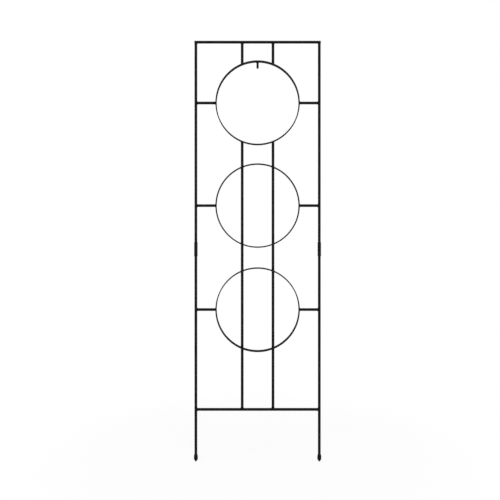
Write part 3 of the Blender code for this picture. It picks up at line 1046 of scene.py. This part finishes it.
class TRELLIS_OT_pegs(bpy.types.Operator):
    """Adds the locating pegs under the middle ring"""

    bl_idname = "trellis.pegs"
    bl_label = "Pegs"
    bl_options = {"REGISTER", "UNDO"}

    def execute(self, context):
        for side, sign in SIDES.items():
            add_stock("rod", side + "_locating_peg", peg_of_rod(sign * BAR_X))
        return {"FINISHED"}


def beads(side):
    """The beads on one side: seed's step, group, point on the tube, axis, way up the tube, and wall."""
    sign = SIDES[side]
    bar = upright(side)
    rail = np.array([sign * RAIL_X, 0, 0])
    bottom_bar = np.array([0, 0, BOTTOM_BAR_Z])
    listed = [
        (0, "top_ring", bar, Z, 1, ring_outside("top")),
        (1, "top_bar", bar, Z, -1, bar_wall(TOP_BAR_Z)),
        (2, "top_bar", rail, Z, -1, bar_wall(TOP_BAR_Z)),
        (3, "middle_ring", bar, Z, 1, ring_outside("middle")),
        (4, "top_ring", bar, Z, -1, ring_outside("top")),
        (5, "middle_ring", bar, Z, 1, ring_inside("middle")),
        (6, "middle_ring", bar, Z, -1, ring_inside("middle")),
        (7, "bottom_ring", bar, Z, 1, ring_outside("bottom")),
        (8, "bottom_ring", bar, Z, 1, ring_inside("bottom")),
        (9, "bottom_ring", bar, Z, -1, ring_inside("bottom")),
        (10, "bottom_bar", bar, Z, 1, bar_wall(BOTTOM_BAR_Z)),
        (11, "bottom_ring", bar, Z, -1, ring_outside("bottom")),
        (12, "bottom_bar", bottom_bar, X, -sign, rail_wall(side)),
    ]
    for step, ring in enumerate(RINGS):
        arm = np.array([0, 0, RING_Z[ring]])
        listed.append((20 + step, ring + "_ring", arm, X, -sign, rail_wall(side)))
        listed.append((30 + step, ring + "_ring", arm, X, sign, ring_outside(ring)))
    return listed


class TRELLIS_OT_welds(bpy.types.Operator):
    """Adds the weld beads, grouped by what they join"""

    bl_idname = "trellis.welds"
    bl_label = "Welds"
    bl_options = {"REGISTER", "UNDO"}

    def execute(self, context):
        first_seeds = {"left": 100, "right": 200, "hook": 50}
        groups = {name: [] for name in WELD_GROUPS}
        for side in SIDES:
            for step, group, *place in beads(side):
                groups[group].append(weld(*place, TUBE_RADIUS, first_seeds[side] + step))
        shank = np.array([0, HOOK_BACK_Y - HOOK_ROD_RADIUS, 0])
        hook_bead = weld(shank, Z, -1, ring_inside("top"), HOOK_ROD_RADIUS, first_seeds["hook"])
        groups["top_ring"].append(hook_bead)
        for name, shells in groups.items():
            add_piece(name + "_welds", shells, weld_coat(), "tube_coat", BODIES[name])
        return {"FINISHED"}


def white_for_views(tree, ordinary, glow):
    """Mixes a shader with plain white for the rays that look straight, in a mirror or through glass."""
    sight = tree.node("ShaderNodeLightPath", {}, {})
    seen = tree.math("MAXIMUM", sight[CAMERA_RAY], sight[GLOSSY_RAY])
    seen = tree.math("MAXIMUM", seen, sight[TRANSMISSION_RAY])
    white = tree.node("ShaderNodeEmission", {}, {"Color": (1, 1, 1, 1), "Strength": 1.0})[0]
    return tree.node("ShaderNodeMixShader", {}, {0: seen * glow, 1: ordinary, 2: white})[0]


def floor_material():
    """Pale matt floor that turns to plain white away from the object."""
    stage = settings("stage")
    material = bpy.data.materials.new("pale_floor")
    tree = Tree(material)
    here = tree.node("ShaderNodeTexCoord", {}, {})[OBJECT_PLACE]
    distance = tree.node("ShaderNodeVectorMath", {"operation": "LENGTH"}, {0: here})[VECTOR_LENGTH]
    far = tree.ranged(distance, stage.clear_radius, 2 * stage.clear_radius)
    glow = far * (1 - stage.floor_glow) + stage.floor_glow
    matt = tree.node("ShaderNodeBsdfDiffuse", {}, {"Color": opaque(stage.floor)})[0]
    tree.node("ShaderNodeOutputMaterial", {}, {"Surface": white_for_views(tree, matt, glow)})
    return material


def softbox(name, stand, aim, size, watts):
    """An area lamp at a stand, turned to face the aim."""
    lamp = bpy.data.lights.new(name, "AREA")
    lamp.shape = "RECTANGLE"
    lamp.size, lamp.size_y = size
    lamp.energy = watts
    box = bpy.data.objects.new(name, lamp)
    box.location = stand
    box.rotation_euler = (Vector(aim) - Vector(stand)).to_track_quat("-Z", "Y").to_euler()
    box.visible_camera = False
    bpy.context.scene.collection.objects.link(box)


def add_floor():
    """A round floor at the height of the feet's tips."""
    corners = 96
    rim = around(np.array([0, 0, TIP_Z]), Z, settings("stage").floor_radius, turns(corners))
    mesh = bpy.data.meshes.new("floor")
    mesh.from_pydata(rim, [], [list(range(corners))])
    mesh.materials.append(floor_material())
    floor = bpy.data.objects.new("floor", mesh)
    bpy.context.scene.collection.objects.link(floor)


def studio_world():
    """Soft light from all round, from a world that looks plain white."""
    world = bpy.data.worlds.new("studio")
    tree = Tree(world)
    grey = opaque([settings("stage").ambient] * 3)
    soft = tree.node("ShaderNodeBackground", {}, {"Color": grey, "Strength": 1.0})[0]
    tree.node("ShaderNodeOutputWorld", {}, {"Surface": white_for_views(tree, soft, 1.0)})
    return world


def photo_camera():
    """A level camera that looks straight back, its view moved into place by the shift of its lens."""
    stage = settings("stage")
    lens = bpy.data.cameras.new("camera")
    lens.lens = lens.sensor_width * stage.camera_distance / stage.view_width
    lens.shift_x = (stage.view_x - stage.camera_x) / stage.view_width
    lens.shift_y = (stage.view_z - stage.camera_z) / stage.view_width
    camera = bpy.data.objects.new("camera", lens)
    camera.location = (stage.camera_x, -stage.camera_distance, stage.camera_z)
    camera.rotation_euler = (math.pi / 2, 0, 0)
    bpy.context.scene.collection.objects.link(camera)
    return camera


class TRELLIS_OT_stage(bpy.types.Operator):
    """Adds the floor, the world, the softboxes and the camera"""

    bl_idname = "trellis.stage"
    bl_label = "Stage"
    bl_options = {"REGISTER", "UNDO"}

    def execute(self, context):
        scene = context.scene
        add_floor()
        scene.world = studio_world()
        aim = (0, 0, (TOP_BAR_Z + TIP_Z) / 2)
        for name, stand, size, watts in SOFTBOXES:
            softbox(name + "_softbox", stand, aim, size, getattr(settings("stage"), watts))
        scene.camera = photo_camera()
        scene.view_settings.view_transform = "Standard"
        return {"FINISHED"}


GROUPS = {
    "tube": TrellisTubeSettings,
    "strip": TrellisStripSettings,
    "socket": TrellisSocketSettings,
    "foot": TrellisFootSettings,
    "hook": TrellisHookSettings,
    "weld": TrellisWeldSettings,
    "coat": TrellisCoatSettings,
    "stage": TrellisStageSettings,
}
OPERATORS = [
    TRELLIS_OT_cross_bars,
    TRELLIS_OT_rails,
    TRELLIS_OT_rings,
    TRELLIS_OT_arms,
    TRELLIS_OT_inner_bars,
    TRELLIS_OT_hook,
    TRELLIS_OT_pegs,
    TRELLIS_OT_welds,
    TRELLIS_OT_stage,
]


class TRELLIS_PT_sidebar(bpy.types.Panel):
    """Lists the operators and the settings"""

    bl_label = "Circle trellis"
    bl_idname = "TRELLIS_PT_sidebar"
    bl_space_type = "VIEW_3D"
    bl_region_type = "UI"
    bl_category = "Trellis"

    def draw(self, context):
        for operator in OPERATORS:
            self.layout.operator(operator.bl_idname)
        for name, group in GROUPS.items():
            box = self.layout.box()
            box.label(text=name.capitalize())
            for label in group.__annotations__:
                box.prop(settings(name), label)


def register():
    for group in GROUPS.values():
        bpy.utils.register_class(group)
    for name, group in GROUPS.items():
        setattr(bpy.types.Scene, "trellis_" + name, PointerProperty(type=group))
    for operator in OPERATORS:
        bpy.utils.register_class(operator)
    bpy.utils.register_class(TRELLIS_PT_sidebar)


def unregister():
    bpy.utils.unregister_class(TRELLIS_PT_sidebar)
    for operator in reversed(OPERATORS):
        bpy.utils.unregister_class(operator)
    for name in GROUPS:
        delattr(bpy.types.Scene, "trellis_" + name)
    for group in reversed(GROUPS.values()):
        bpy.utils.unregister_class(group)


def main():
    register()
    for operator in OPERATORS:
        area, action = operator.bl_idname.split(".")
        getattr(getattr(bpy.ops, area), action)()


if __name__ == "__main__":
    main()
